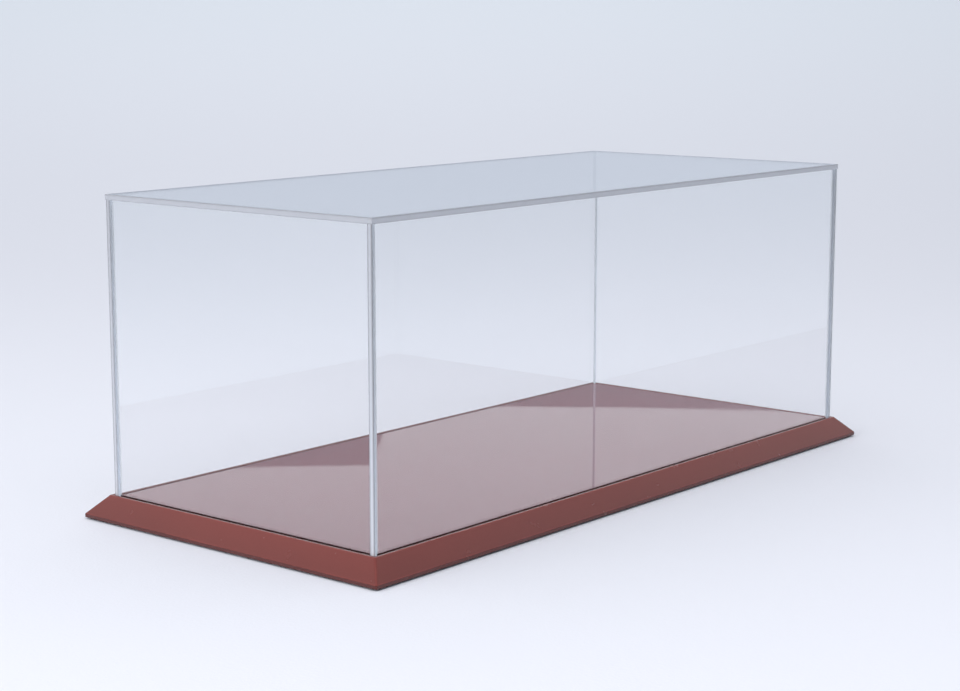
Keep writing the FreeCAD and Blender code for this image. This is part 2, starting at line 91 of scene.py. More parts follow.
# The bright side of the sky lies along these parts of x and y, behind the case.
BEHIND_X, BEHIND_Y = 0.45, 0.85
STEP_BEARINGS = (math.radians(42.4), math.radians(43.1))  # where the strip's top steps up
STRIP_BLUR = 0.0006
HAZE_BLUR = 0.012
GLOW_FADE, GLOW_LEFT = 0.2, 0.85  # how far up the sky's glow takes to fade, and to what
GLOW_EDGE = 0.8  # how far round it reaches, as the cosine of the angle from its middle
# Soft boxes: name, width and height, place, and the point that each faces.
SOFT_BOXES = (
    ("key", (2.0, 1.5), (-0.9, -1.1, 2.4), (-0.2, -0.3, 0.0)),
    ("side", (2.4, 1.5), (-3.4, 0.8, 1.7), (0.0, 0.0, 0.0)),
    ("backdrop", (4.0, 3.0), (3.0, 3.1, 3.5), (3.0, 3.1, 0.0)),
)
FLAT_RINGS, SWEEP_RINGS, FLOOR_SIDES = 4, 24, 128
SENSOR_WIDTH = 36.0
NEAREST_SEEN = 0.01
BOUNCES = {
    "max_bounces": 24,
    "transmission_bounces": 20,
    "glossy_bounces": 10,
    "transparent_max_bounces": 24,
}


# ---------------------------------------------------------------- places taken from the frame


def reach(node, axis):
    """How far a node reaches from the middle along an axis, on its high side."""
    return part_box(node)[1][axis]


def base_levels():
    """Heights of the base's faces: underside of the rails, shelf and rim."""
    rail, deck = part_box("front_rail"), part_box("deck_board")
    return {"underside": rail[0][2], "shelf": deck[0][2], "rim": rail[1][2]}


def base_plan():
    """Half sizes in plan: the base's outline and the well inside its rails."""
    return {
        "outer": (reach("right_rail", 0), reach("rear_rail", 1)),
        "well": (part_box("right_rail")[0][0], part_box("rear_rail")[0][1]),
    }


def cover_plan():
    """Half sizes in plan of the walls' outer and inner faces, and the height of their tops."""
    right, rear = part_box("cover_right"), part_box("cover_rear")
    outer = (right[1][0], rear[1][1])
    inner = (right[0][0], rear[0][1])
    return {"outer": outer, "inner": inner, "top": rear[1][2]}


# ---------------------------------------------------------------- node trees


class Tree:
    """Adds nodes to one tree, and wires each to what feeds it."""

    def __init__(self, tree):
        self.tree = tree
        self.tree.nodes.clear()

    def add(self, kind, inputs=None, **settings):
        node = self.tree.nodes.new(kind)
        for name, setting in settings.items():
            setattr(node, name, setting)
        for key, source in (inputs or {}).items():
            if isinstance(source, bpy.types.NodeSocket):
                self.tree.links.new(source, node.inputs[key])
            else:
                node.inputs[key].default_value = source
        return node

    def math(self, operation, *operands, clamp=False):
        inputs = dict(enumerate(operands))
        return self.add("ShaderNodeMath", inputs, operation=operation, use_clamp=clamp).outputs[0]

    def largest(self, *operands):
        total = operands[0]
        for operand in operands[1:]:
            total = self.math("MAXIMUM", total, operand)
        return total

    def both(self, *operands):
        total = operands[0]
        for operand in operands[1:]:
            total = self.math("MULTIPLY", total, operand)
        return total

    def above(self, value, limit):
        return self.math("GREATER_THAN", value, limit)

    def below(self, value, limit):
        return self.math("LESS_THAN", value, limit)

    def ridge(self, value, centre, width):
        """1 where value is at centre, down to 0 at width to either side."""
        away = self.math("ABSOLUTE", self.math("SUBTRACT", value, centre))
        return self.spread(away, width, 0.0)

    def spread(self, value, low, high, to_low=0.0, to_high=1.0):
        inputs = {0: value, 1: low, 2: high, 3: to_low, 4: to_high}
        return self.add("ShaderNodeMapRange", inputs).outputs[0]

    def mix(self, share, a, b):
        """A colour between a and b. The node's sockets 6 and 7 are its colours."""
        inputs = {0: share, 6: a, 7: b}
        return self.add("ShaderNodeMix", inputs, data_type="RGBA").outputs[2]

    def partly(self, share, most, a, b):
        """A colour from a towards b, where the whole share stands for most."""
        return self.mix(self.math("MULTIPLY", share, most), a, b)

    def blend(self, share, a, b):
        """A number between a and b."""
        return self.add("ShaderNodeMix", {0: share, 2: a, 3: b}, data_type="FLOAT").outputs[0]

    def noise(self, vector, scale, detail=3.0, roughness=0.5, distortion=0.0):
        inputs = {
            "Vector": vector,
            "Scale": scale,
            "Detail": detail,
            "Roughness": roughness,
            "Distortion": distortion,
        }
        return self.add("ShaderNodeTexNoise", inputs).outputs[0]

    def cells(self, vector, scale):
        inputs = {"Vector": vector, "Scale": scale}
        return self.add("ShaderNodeTexVoronoi", inputs).outputs["Distance"]

    def stretched(self, vector, scale, turn=0.0):
        inputs = {"Vector": vector, "Scale": scale, "Rotation": (0.0, 0.0, turn)}
        return self.add("ShaderNodeMapping", inputs).outputs[0]

    def bump(self, height, distance, normal=None):
        inputs = {"Height": height, "Distance": distance, "Strength": 1.0}
        if normal is not None:
            inputs["Normal"] = normal
        return self.add("ShaderNodeBump", inputs).outputs[0]

    def spot(self):
        """Object coordinates."""
        return self.add("ShaderNodeTexCoord").outputs["Object"]

    def place(self):
        """Object coordinates, and their three parts."""
        spot = self.spot()
        parts = self.add("ShaderNodeSeparateXYZ", {0: spot})
        return spot, parts.outputs[0], parts.outputs[1], parts.outputs[2]

    def glossy(self, colour, roughness, normal=None, **constants):
        """A Principled shader. The constants go straight on its own sockets."""
        inputs = {"Base Color": colour, "Roughness": roughness}
        if normal is not None:
            inputs["Normal"] = normal
        for name, setting in constants.items():
            inputs[name.replace("_", " ").title().replace("Ior", "IOR")] = setting
        return self.add("ShaderNodeBsdfPrincipled", inputs).outputs[0]

    def ramp(self, share, stops, colour):
        """A colour by share, from (place, brightness) stops of one colour."""
        node = self.add("ShaderNodeValToRGB", {0: share})
        stops_now = node.color_ramp.elements
        for place, _ in stops[2:]:
            stops_now.new(place)
        for stop, (place, brightness) in zip(stops_now, sorted(stops)):
            stop.position = place
            stop.color = shade(colour, brightness)
        return node.outputs[0]

    def mixed(self, share, a, b):
        """One shader into another."""
        return self.add("ShaderNodeMixShader", {0: share, 1: a, 2: b}).outputs[0]

    def surface(self, shader):
        self.add("ShaderNodeOutputMaterial", {"Surface": shader})


def new_material(name):
    """A new material, and the tree that its finish goes in."""
    material = bpy.data.materials.new(name)
    material.use_nodes = True
    return material, Tree(material.node_tree)


def solid(colour):
    return (*colour, 1.0)


def shade(colour, by):
    """A colour made darker or lighter."""
    return (*[min(1.0, part * by) for part in colour], 1.0)


def finish(names, material):
    """Gives CAD nodes their finish."""
    for name in names:
        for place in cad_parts[name].material_slots:
            place.material = material


# ---------------------------------------------------------------- finishes


def clear_acrylic(settings):
    """Cast sheet with polished faces, milky cemented joints, and pale cut edges with painted bands
    of light; sheet, edges and joints carry painted shade towards the top.

    Light for shadows goes straight through, so that the deck and the floor are lit evenly.
    """
    material, tree = new_material("clear acrylic")
    spot, x, y, z = tree.place()
    plan = cover_plan()
    (out_x, out_y), (in_x, in_y) = plan["outer"], plan["inner"]
    side, depth = tree.math("ABSOLUTE", x), tree.math("ABSOLUTE", y)

    over_walls = tree.largest(tree.above(side, in_x - TINY), tree.above(depth, in_y - TINY))
    within = tree.both(tree.below(side, out_x + TINY), tree.below(depth, out_y + TINY))
    level = tree.ridge(z, plan["top"], 2 * TINY)
    lid_joint = tree.both(over_walls, within, tree.above(level, ON_FACE))
    butt = tree.above(tree.ridge(depth, in_y, 2 * TINY), ON_FACE)
    corner_joint = tree.both(butt, tree.above(side, in_x - TINY), tree.below(z, plan["top"]))
    joint = tree.largest(lid_joint, corner_joint)

    past_walls = tree.largest(tree.above(side, out_x + TINY), tree.above(depth, out_y + TINY))
    thick = out_x - in_x
    arris = settings.arris
    wall_end = tree.both(tree.above(side, out_x - arris), tree.above(depth, in_y))
    foot = tree.below(z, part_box("cover_front")[0][2] + arris)
    cut = tree.largest(past_walls, wall_end, foot)
    up_lid = tree.spread(z, plan["top"], plan["top"] + thick)
    across_wall = tree.spread(depth, in_y, in_y + thick)
    rim = base_levels()["rim"]
    # Painted shade: edges and joints are darker towards the top of the walls, lighter near the
    # base.
    edge_shade_up = tree.spread(z, rim, plan["top"], 1.0, settings.edge_falloff)
    joint_shade_up = tree.spread(z, rim, plan["top"], 1.0, settings.cement_falloff)

    hairlines = tree.noise(tree.stretched(spot, (9.0, 9.0, 700.0), 0.3), 1.0, detail=2.0)
    polish = tree.spread(hairlines, 0.45, 0.8, 0.0, settings.face_roughness)
    swell = tree.bump(tree.noise(spot, 5.0, detail=1.0), settings.sheet_swell)
    # Painted shade: the clear sheet turns greyer towards the top of the walls.
    height = tree.spread(z, settings.shade_start, plan["top"])
    tint_and_shade = tree.mix(height, solid(settings.tint_foot), solid(settings.shade_at_top))
    glass = tree.glossy(tint_and_shade, polish, swell, ior=settings.refraction, transmission_weight=1.0)

    # Painted light: bands of light and shade across each cut edge, standing in for light carried
    # through the sheet.
    wall_bands = tree.ramp(across_wall, WALL_LIGHT_BANDS, settings.edge)
    lid_bands = tree.ramp(up_lid, LID_LIGHT_BANDS, settings.edge)
    bands = tree.mix(past_walls, wall_bands, lid_bands)
    strokes = tree.noise(spot, 14.0, detail=2.0)
    banded = tree.partly(strokes, STROKED, bands, shade(settings.edge, 0.8))
    edge_colour = tree.mix(edge_shade_up, BLACK, banded)
    saw_marks = tree.noise(spot, 300.0, detail=2.0)
    saw_bump = tree.bump(saw_marks, settings.sheet_swell)
    edge = tree.glossy(edge_colour, settings.edge_roughness, saw_bump)
    sheet = tree.mixed(tree.math("MULTIPLY", cut, settings.edge_milkiness), glass, edge)

    bubbles = tree.spread(tree.cells(spot, 420.0), 0.1, 0.16)
    cement = tree.mix(bubbles, shade(settings.cement, 0.85), solid(settings.cement))
    # Painted shade: the joints darken towards the top of the walls.
    cement = tree.mix(joint_shade_up, BLACK, cement)
    milk = tree.add("ShaderNodeBsdfTranslucent", {"Color": cement}).outputs[0]
    straight_on = tree.add("ShaderNodeBsdfTransparent").outputs[0]
    cemented = tree.mixed(settings.cement_milkiness, straight_on, milk)
    whole = tree.mixed(joint, sheet, cemented)
    shadow = tree.add("ShaderNodeLightPath").outputs["Is Shadow Ray"]
    tree.surface(tree.mixed(shadow, whole, straight_on))
    return material


def cement_bead(settings):
    """Set cement: milky, with small bubbles and a wet shine."""
    material, tree = new_material("cement bead")
    spot, _x, _y, z = tree.place()
    rim, top = base_levels()["rim"], cover_plan()["top"]
    # Painted shade: the bead darkens towards the top of the walls.
    bead_shade_up = tree.spread(z, rim, top, 1.0, settings.cement_falloff)
    bubbles = tree.spread(tree.cells(spot, 700.0), 0.1, 0.2)
    tone = tree.mix(bubbles, shade(settings.cement, 0.8), solid(settings.cement))
    colour = tree.mix(bead_shade_up, BLACK, tone)
    milk = tree.add("ShaderNodeBsdfTranslucent", {"Color": colour}).outputs[0]
    shine = tree.glossy(colour, 0.15, tree.bump(bubbles, BUBBLE_DEPTH), ior=1.45)
    clear = tree.add("ShaderNodeBsdfTransparent").outputs[0]
    body = tree.mixed(BEAD_SHINE, milk, shine)
    tree.surface(tree.mixed(BEAD_BODY, clear, body))
    return material


def bare_timber(tree, spot, colour, along):
    """Colour of planed softwood with its grain along x (0) or y (1)."""
    scale = [130.0, 130.0, 130.0]
    scale[along] = 4.0
    grain = tree.noise(tree.stretched(spot, scale), 1.0, detail=5.0, roughness=0.6, distortion=0.4)
    fibre = tree.noise(tree.stretched(spot, [9 * part for part in scale]), 1.0, detail=2.0)
    streaks = tree.spread(grain, 0.35, 0.7)
    tone = tree.mix(streaks, solid(colour), shade(colour, 0.62))
    return tree.partly(fibre, FIBRED, tone, shade(colour, 0.8)), grain


def rail_lacquer(settings, along):
    """Satin lacquer outside, bare timber elsewhere; worn edges with a painted highlight, painted
    light up the bevel, and painted shade on the upright foot, in the groove and under the foot.
    """
    material, tree = new_material("rail lacquer " + "xy"[along])
    spot, x, y, z = tree.place()
    plan, levels = base_plan(), base_levels()
    from_end = tree.math("SUBTRACT", plan["outer"][0], tree.math("ABSOLUTE", x))
    from_side = tree.math("SUBTRACT", plan["outer"][1], tree.math("ABSOLUTE", y))
    inward = tree.math("MINIMUM", from_end, from_side)

    # Worn edges on the rim, foot and hips, lightened further as a painted highlight along the
    # ridges.
    rim_edge = tree.ridge(inward, settings.bevel_run, settings.wear_and_highlight_width)
    foot_edge = tree.ridge(z, levels["underside"] + settings.edge_height, settings.wear_and_highlight_width)
    hip = tree.ridge(tree.math("SUBTRACT", from_end, from_side), 0.0, settings.wear_and_highlight_width)
    patches = tree.spread(tree.noise(spot, 38.0, detail=4.0, roughness=0.6), 0.35, 0.7)
    wear_and_highlight = tree.both(tree.largest(rim_edge, foot_edge, hip), patches)

    clouds = tree.spread(tree.noise(spot, 7.0, detail=3.0), 0.3, 0.7)
    tone = tree.mix(clouds, solid(settings.lacquer), shade(settings.lacquer, 1.12))
    speckle = tree.spread(tree.noise(spot, 900.0, detail=2.0), 0.35, 0.65, 0.0, 0.3)
    tone = tree.mix(speckle, tone, shade(settings.lacquer, 0.78))
    tone = tree.partly(wear_and_highlight, RUBBED_AND_HIGHLIGHT, tone, shade(settings.lacquer, 2.2))

    # Painted light: the bevel is lighter towards the rim and darker towards the foot.
    painted_light_climb = tree.spread(z, levels["underside"] + settings.edge_height, levels["rim"])
    tone = tree.partly(painted_light_climb, BEVEL_PAINTED_LIGHT, tone, shade(settings.lacquer, 1.45))
    # Painted shade: the upright foot is made much darker than the bevel.
    shaded_foot = tree.below(z, levels["underside"] + settings.edge_height)
    tone = tree.partly(shaded_foot, SHADED, tone, shade(settings.lacquer, 0.3))
    # Painted shade: the groove is coloured near-black.
    groove_shade = tree.both(
        tree.above(inward, settings.bevel_run + settings.rim_width),
        tree.below(z, levels["rim"] - TINY),
    )
    tone = tree.mix(groove_shade, tone, solid(settings.groove))

    well_x, well_y = plan["well"]
    inside = tree.both(
        tree.below(tree.math("ABSOLUTE", x), well_x + TINY),
        tree.below(tree.math("ABSOLUTE", y), well_y + TINY),
    )
    underneath = tree.below(z, levels["underside"] + TINY)
    bare = tree.largest(underneath, inside)
    timber, grain = bare_timber(tree, spot, settings.timber, along)
    # Painted shade: a black strip along the underside's outer edge, so that the gap under the base
    # looks dark.
    shade_edging = tree.both(underneath, tree.below(inward, settings.shade_edging))
    timber = tree.mix(shade_edging, timber, solid(settings.groove))
    colour = tree.mix(bare, tone, timber)

    sheen = tree.spread(tree.noise(spot, 60.0, detail=3.0), 0.3, 0.7, 0.9, 1.1)
    satin = tree.math("MULTIPLY", sheen, settings.satin)
    roughness = tree.blend(bare, satin, 0.75)
    peel = tree.bump(tree.noise(spot, 450.0, detail=2.0), settings.peel_height)
    normal = tree.bump(tree.both(grain, bare), GRAIN_DEPTH, peel)
    tree.surface(tree.glossy(colour, roughness, normal))
    return material


def deck_lacquer(settings):
    """Mirror-gloss lacquer on the deck board, with painted shade in black along its edges, and a
    bare underside.
    """
    material, tree = new_material("deck lacquer")
    spot, x, y, z = tree.place()
    levels = base_levels()
    clouds = tree.spread(tree.noise(spot, 5.0, detail=3.0), 0.3, 0.7)
    tone = tree.mix(clouds, solid(settings.deck), shade(settings.deck, 1.08))
    # Painted shade: the deck's sides and the outer strip of its top are near-black.
    shaded_sides = tree.largest(
        tree.above(tree.math("ABSOLUTE", x), reach("deck_board", 0) - settings.shaded_edge_width),
        tree.above(tree.math("ABSOLUTE", y), reach("deck_board", 1) - settings.shaded_edge_width),
    )
    tone = tree.mix(shaded_sides, tone, solid(settings.deck_edge_shade))
    fibres = tree.noise(spot, 300.0, detail=4.0, roughness=0.7)
    board = tree.mix(fibres, solid(settings.fibreboard), shade(settings.fibreboard, 0.6))
    bare = tree.below(z, levels["shelf"] + TINY)
    colour = tree.mix(bare, tone, board)
    haze = tree.spread(tree.noise(spot, 9.0, detail=1.0), 0.4, 0.8, 0.0, settings.deck_haze)
    roughness = tree.blend(bare, haze, 0.8)
    ripple = tree.noise(spot, 11.0, detail=0.0)
    normal = tree.bump(ripple, settings.deck_ripple)
    tree.surface(tree.glossy(colour, roughness, normal, ior=1.5))
    return material


def batten_timber(settings):
    """Planed softwood, with its grain along the batten."""
    material, tree = new_material("batten timber")
    spot = tree.spot()
    colour, grain = bare_timber(tree, spot, settings.timber, 1)
    roughness = tree.spread(grain, 0.3, 0.7, 0.68, 0.82)
    tree.surface(tree.glossy(colour, roughness, tree.bump(grain, GRAIN_DEPTH)))
    return material


def key_plywood(settings):
    """Thin plies across the key's thickness, light and dark in turn."""
    material, tree = new_material("key plywood")
    spot, _x, _y, z = tree.place()
    plies = tree.math("FRACT", tree.math("MULTIPLY", z, PLIES_PER_METRE))
    dark = tree.above(plies, 0.5)
    grain = tree.noise(tree.stretched(spot, (40.0, 300.0, 300.0), math.pi / 4), 1.0, detail=4.0)
    tone = tree.mix(grain, solid(settings.timber), shade(settings.timber, 0.75))
    colour = tree.partly(dark, PLY, tone, shade(settings.timber, 0.55))
    tree.surface(tree.glossy(colour, 0.7, tree.bump(grain, PLY_DEPTH)))
    return material


def dowel_beech(settings):
    """Close-grained beech, flecked along the dowel."""
    material, tree = new_material("dowel beech")
    spot = tree.spot()
    flecks = tree.noise(tree.stretched(spot, (900.0, 90.0, 900.0)), 1.0, detail=2.0)
    marks = tree.spread(flecks, 0.55, 0.7)
    colour = tree.mix(marks, shade(settings.timber, 1.15), shade(settings.timber, 0.7))
    tree.surface(tree.glossy(colour, 0.6, tree.bump(flecks, FLECK_DEPTH)))
    return material


def plated_steel(settings):
    """Pale yellow zinc plating with turning marks and dull patches."""
    material, tree = new_material("plated steel")
    spot = tree.spot()
    turning = tree.noise(tree.stretched(spot, (500.0, 500.0, 6000.0)), 1.0, detail=2.0)
    patches = tree.spread(tree.noise(spot, 700.0, detail=3.0), 0.4, 0.7)
    colour = tree.mix(patches, solid(settings.plating), shade(settings.plating, 0.8))
    roughness = tree.spread(turning, 0.3, 0.7, 0.24, 0.42)
    normal = tree.bump(turning, TURNING_DEPTH)
    tree.surface(tree.glossy(colour, roughness, normal, metallic=1.0))
    return material


def pad_rubber(settings):
    """Dense black rubber with a fine matt texture and a little dust."""
    material, tree = new_material("pad rubber")
    spot = tree.spot()
    crumb = tree.noise(spot, 1800.0, detail=3.0)
    dust = tree.spread(tree.noise(spot, 160.0, detail=4.0), 0.5, 0.8, 0.0, 0.35)
    colour = tree.mix(dust, solid(settings.rubber), shade(settings.rubber, 5.0))
    roughness = tree.spread(crumb, 0.3, 0.7, 0.7, 0.9)
    tree.surface(tree.glossy(colour, roughness, tree.bump(crumb, CRUMB_DEPTH)))
    return material


def groove_felt(settings):
    """Pressed wool felt: tangled fibres, with a soft sheen."""
    material, tree = new_material("groove felt")
    spot = tree.spot()
    tangle = tree.noise(spot, 2600.0, detail=4.0, roughness=0.7, distortion=1.5)
    tufts = tree.noise(spot, 500.0, detail=3.0)
    colour = tree.mix(tangle, shade(settings.felt, 0.6), shade(settings.felt, 1.9))
    height = tree.math("ADD", tangle, tufts)
    shader = tree.glossy(
        colour, 0.95, tree.bump(height, FELT_DEPTH), sheen_weight=0.5, sheen_roughness=0.4
    )
    tree.surface(shader)
    return material


def studio_paper(settings):
    """Seamless pale paper, with painted light making it lighter where it climbs."""
    material, tree = new_material("studio paper")
    spot, _x, _y, z = tree.place()
    # Painted light: the floor gets lighter as it climbs.
    painted_light_climb = tree.spread(z, 0.0, settings.sweep_rise)
    colour = tree.mix(painted_light_climb, solid(settings.paper), solid(settings.far_paper_light))
    tooth = tree.noise(spot, 300.0, detail=2.0)
    tree.surface(tree.glossy(colour, 0.9, tree.bump(tooth, TOOTH_DEPTH), specular_ior_level=0.1))
    return material


# ---------------------------------------------------------------- meshes


def mesh_object(name, mesh):
    thing = bpy.data.objects.new(name, mesh)
    bpy.context.collection.objects.link(thing)
    return thing


def turned_rings(bm, profile, segments, phase=None):
    """Rings of vertices round the z axis, for a profile of (radius, height) pairs."""
    rings = []
    for radius, height in profile:
        ring = []
        for i in range(segments):
            angle = 2 * math.pi * i / segments
            r = radius if phase is None else radius * phase(angle, height)
            ring.append(bm.verts.new((r * math.cos(angle), r * math.sin(angle), height)))
        rings.append(ring)
    return rings


def skin_rings(bm, rings):
    """Faces between each ring of vertices and the next."""
    for lower, upper in zip(rings, rings[1:]):
        count = len(lower)
        for i in range(count):
            j = (i + 1) % count
            bm.faces.new((lower[i], lower[j], upper[j], upper[i]))


def closed_mesh(name, bm):
    """A mesh from a closed shape, with its faces outwards."""
    bmesh.ops.recalc_face_normals(bm, faces=bm.faces)
    mesh = bpy.data.meshes.new(name)
    bm.to_mesh(mesh)
    bm.free()
    return mesh


def threaded_screw(settings, length):
    """One wood screw: its head on the ground, its point up, and a thread up its shank."""
    shank, head = settings.shank_diameter / 2, settings.head_diameter / 2
    neck = head - shank
    core = 1.0 - settings.thread_depth / shank
    start, point = neck + SCREW_NECK, length - SCREW_TIP

    def thread(angle, height):
        if not start < height < point:
            return 1.0 if height <= start else core
        turn = (height / settings.thread_pitch - angle / (2 * math.pi)) % 1.0
        return core + (1.0 - core) * max(0.0, 1.0 - THREAD_SLOPE * abs(turn - 0.5))

    bevel = SMALL_BEVEL
    profile = [(head - bevel, 0.0), (head, bevel), (shank, neck + bevel)]
    steps = int((point - start) / settings.thread_pitch * settings.thread_rows)
    profile += [(shank, start + (point - start) * i / steps) for i in range(steps + 1)]
    profile += [(shank * CLOSING_WIDTH, length - SCREW_CLOSING), (bevel, length)]
    bm = bmesh.new()
    rings = turned_rings(bm, profile, settings.screw_sides, thread)
    skin_rings(bm, rings)
    bm.faces.new(rings[0][::-1])
    bm.faces.new(rings[-1])
    return closed_mesh("screw", bm)


def recess_cutter(settings):
    """A cross that narrows as it goes into a screw's head."""
    span, slot = settings.recess_span / 2, settings.recess_slot / 2
    outline = []
    for turn in range(4):
        for u, v in ((span, -slot), (span, slot), (slot, slot)):
            corner = Matrix.Rotation(turn * math.pi / 2, 2) @ Vector((u, v))
            outline.append(corner)
    bm = bmesh.new()
    rings = []
    for height, scale in ((-RECESS_ABOVE, RECESS_MOUTH), (settings.recess_depth, RECESS_FLOOR)):
        rings.append([bm.verts.new((*(corner * scale), height)) for corner in outline])
    skin_rings(bm, rings)
    bm.faces.new(rings[0][::-1])
    bm.faces.new(rings[1])
    return closed_mesh("recess", bm)


def evaluated_mesh(thing):
    """A plain mesh of what an object's modifiers make."""
    depsgraph = bpy.context.evaluated_depsgraph_get()
    return bpy.data.meshes.new_from_object(thing.evaluated_get(depsgraph))


def finished_screw(settings, length):
    """The screw with its recess cut, as an object to be repeated."""
    screw = mesh_object("screw", threaded_screw(settings, length))
    cutter = mesh_object("recess", recess_cutter(settings))
    cut = screw.modifiers.new("recess", "BOOLEAN")
    cut.operation = "DIFFERENCE"
    cut.object = cutter
    cut_mesh = evaluated_mesh(screw)
    screw.modifiers.remove(cut)
    screw.data = cut_mesh
    bpy.data.objects.remove(cutter)
    return screw


def screw_rows_tree():
    """Repeats one screw over three grids: long rails, end rails and battens."""
    tree = bpy.data.node_groups.new("screw rows", "GeometryNodeTree")
    face = tree.interface
    face.new_socket("Geometry", in_out="INPUT", socket_type="NodeSocketGeometry")
    face.new_socket("Screw", in_out="INPUT", socket_type="NodeSocketObject")
    face.new_socket("Finish", in_out="INPUT", socket_type="NodeSocketMaterial")
    face.new_socket("Ground", in_out="INPUT", socket_type="NodeSocketFloat")
    for group in ("Long rail", "End rail", "Batten"):
        for size in ("Span X", "Span Y"):
            face.new_socket(f"{group} {size}", in_out="INPUT", socket_type="NodeSocketFloat")
        for count in ("Count X", "Count Y"):
            face.new_socket(f"{group} {count}", in_out="INPUT", socket_type="NodeSocketInt")
    face.new_socket("Geometry", in_out="OUTPUT", socket_type="NodeSocketGeometry")
    work = Tree(tree)
    given = work.add("NodeGroupInput").outputs
    joined = work.add("GeometryNodeJoinGeometry")
    for group in ("Long rail", "End rail", "Batten"):
        sizes = {
            "Size X": given[f"{group} Span X"],
            "Size Y": given[f"{group} Span Y"],
            "Vertices X": given[f"{group} Count X"],
            "Vertices Y": given[f"{group} Count Y"],
        }
        grid = work.add("GeometryNodeMeshGrid", sizes).outputs["Mesh"]
        tree.links.new(grid, joined.inputs[0])
    lift = work.add("ShaderNodeCombineXYZ", {2: given["Ground"]}).outputs[0]
    raised = work.add("GeometryNodeSetPosition", {0: joined.outputs[0], "Offset": lift}).outputs[0]
    shape = work.add("GeometryNodeObjectInfo", {"Object": given["Screw"]}).outputs["Geometry"]
    placed = work.add("GeometryNodeInstanceOnPoints", {"Points": raised, "Instance": shape})
    real = work.add("GeometryNodeRealizeInstances", {0: placed.outputs[0]}).outputs[0]
    plated = {"Geometry": real, "Material": given["Finish"]}
    finished = work.add("GeometryNodeSetMaterial", plated).outputs[0]
    work.add("NodeGroupOutput", {0: finished})
    return tree


def set_inputs(modifier, settings):
    """Sets a Geometry Nodes modifier's inputs by their sockets' identifiers."""
    for item in modifier.node_group.interface.items_tree:
        if item.in_out == "INPUT" and item.name in settings:
            modifier[item.identifier] = settings[item.name]


def screw_grids():
    """Spans and counts of the three grids of screws, from the rails, well and battens."""
    well_x, well_y = base_plan()["well"]
    shelf = (reach("deck_board", 0) - well_x, reach("deck_board", 1) - well_y)
    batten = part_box("batten_right")
    pitch = (batten[0][0] + batten[1][0]) / 2
    line_x, line_y = well_x + shelf[0] / 2, well_y + shelf[1] / 2
    return {
        "Long rail Span X": 3 * pitch,
        "Long rail Span Y": 2 * line_y,
        "Long rail Count X": 4,
        "Long rail Count Y": 2,
        "End rail Span X": 2 * line_x,
        "End rail Span Y": well_y,
        "End rail Count X": 2,
        "End rail Count Y": 2,
        "Batten Span X": 2 * pitch,
        "Batten Span Y": 4 * well_y / 3,
        "Batten Count X": 3,
        "Batten Count Y": 3,
    }


def bead_rows(settings):
    """A three-sided bead of cement up each inner corner of the cover."""
    in_x, in_y = cover_plan()["inner"]
    low, high = base_levels()["rim"] + 4 * TINY, cover_plan()["top"] - 2 * TINY
    leg, gap = settings.bead_leg, TINY
    bm = bmesh.new()
    for along in (-1, 1):
        for across in (-1, 1):
            corner = (in_x - gap, in_y - gap)
            section = (corner, (in_x - leg, corner[1]), (corner[0], in_y - leg))
            rings = []
            for height in (low, high):
                rings.append([bm.verts.new((along * u, across * v, height)) for u, v in section])
            skin_rings(bm, rings)
            bm.faces.new(rings[0])
            bm.faces.new(rings[1])
    return mesh_object("corner_beads", closed_mesh("corner_beads", bm))


def studio_floor(settings):
    """A round floor that sweeps gently up all round."""
    start, sweep = settings.floor_radius, settings.sweep
    profile = [(start * i / FLAT_RINGS, 0.0) for i in range(1, FLAT_RINGS + 1)]
    for i in range(1, SWEEP_RINGS + 1):
        share = i / SWEEP_RINGS
        profile.append((start + sweep * share, settings.sweep_rise * share**2))
    bm = bmesh.new()
    rings = turned_rings(bm, profile, FLOOR_SIDES)
    skin_rings(bm, rings)
    bm.faces.new(rings[0][::-1])
    bmesh.ops.recalc_face_normals(bm, faces=bm.faces)
    bmesh.ops.reverse_faces(bm, faces=bm.faces)
    for face in bm.faces:
        face.smooth = True
    mesh = bpy.data.meshes.new("floor")
    bm.to_mesh(mesh)
    bm.free()
    return mesh_object("floor", mesh)


def studio_air(tree, settings):
    """Light from all round: plain near the floor, a dim strip above that, then a bright sky.

    The sky is brightest behind the case. The strip stands higher to the left of the middle.
    """
    way = tree.add("ShaderNodeTexCoord").outputs["Generated"]
    parts = tree.add("ShaderNodeSeparateXYZ", {0: way}).outputs
    bearing = tree.math("ARCTAN2", parts[1], parts[0])
    step = tree.spread(bearing, *STEP_BEARINGS)
    top = tree.blend(step, settings.strip_top, settings.strip_top_left)
    over = tree.spread(tree.math("SUBTRACT", parts[2], top), -STRIP_BLUR, STRIP_BLUR)
    under = tree.spread(parts[2], settings.strip_foot, settings.strip_foot + HAZE_BLUR)
    towards_x = tree.math("MULTIPLY", parts[0], BEHIND_X)
    behind = tree.math("MULTIPLY_ADD", parts[1], BEHIND_Y, towards_x)
    faded_by = settings.glow_top + GLOW_FADE
    low_down = tree.spread(parts[2], settings.glow_top, faded_by, 1.0, GLOW_LEFT)
    glow = tree.both(tree.spread(behind, -GLOW_EDGE, GLOW_EDGE), low_down)
    sky = tree.mix(glow, solid(settings.sky_front), solid(settings.sky_back))
    low = tree.mix(under, solid(settings.haze), solid(settings.strip))
    colour = tree.mix(over, low, sky)
    air = tree.add("ShaderNodeBackground", {"Color": colour, "Strength": settings.sky_strength})
    tree.add("ShaderNodeOutputWorld", {"Surface": air.outputs[0]})


